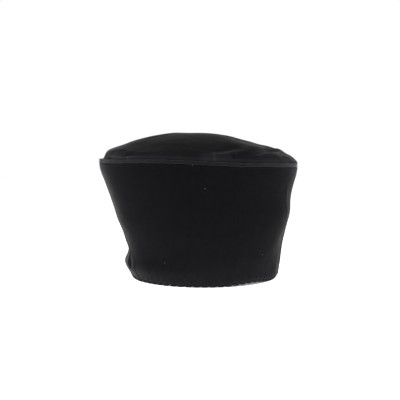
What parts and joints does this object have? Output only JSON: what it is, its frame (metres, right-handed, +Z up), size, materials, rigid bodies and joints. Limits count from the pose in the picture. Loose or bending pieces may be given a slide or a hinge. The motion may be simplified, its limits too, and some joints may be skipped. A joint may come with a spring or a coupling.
{
  "type": "soft velvet fez",
  "caption": "Brimless black velvet cap: a tall soft band flares from a gathered elastic hem to a piped rim under a low, slack, domed crown.",
  "frame": {"origin": "on the surface that the cap stands on, under the middle of its outline", "axes": "+Z up; -Y towards the side that the picture shows; +X to that side's right"},
  "size_m": [0.2086, 0.2266, 0.1508],
  "materials": {
    "velvet": "black pile velvet, matt, with a grazing sheen",
    "piping": "black velvet rolled over a thin cord",
    "elastic": "black overlocked elastic binding, matt"
  },
  "bodies": {
    "root": {"band": "velvet", "crown": "velvet", "rim_welt": "piping", "hem_binding": "elastic"}
  },
  "joints": []
}
